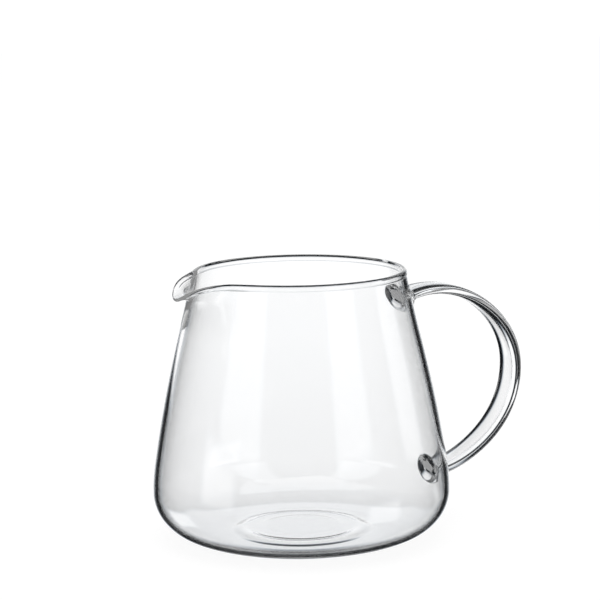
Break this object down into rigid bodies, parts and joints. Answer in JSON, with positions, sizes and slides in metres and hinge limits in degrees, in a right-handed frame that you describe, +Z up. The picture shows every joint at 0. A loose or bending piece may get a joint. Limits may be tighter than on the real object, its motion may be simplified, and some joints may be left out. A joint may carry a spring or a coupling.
{
  "type": "glass coffee server",
  "caption": "Clear glass coffee server with a wide rounded body, a pulled pouring lip and a flat strap handle welded to the wall.",
  "frame": {"origin": "centre of the foot ring, on the surface the server stands on", "axes": "+Z up along the body's axis, +X towards the handle, so the pouring lip points along -X"},
  "size_m": [0.1441, 0.11, 0.0993],
  "materials": {
    "vessel_glass": "clear blown borosilicate glass, fire-polished",
    "handle_glass": "clear solid borosilicate glass strap, fire-polished",
    "weld_glass": "clear borosilicate glass, fused and fire-polished"
  },
  "bodies": {
    "root": {"vessel": "vessel_glass", "handle": "handle_glass", "upper_weld": "weld_glass", "lower_weld": "weld_glass"}
  },
  "joints": []
}
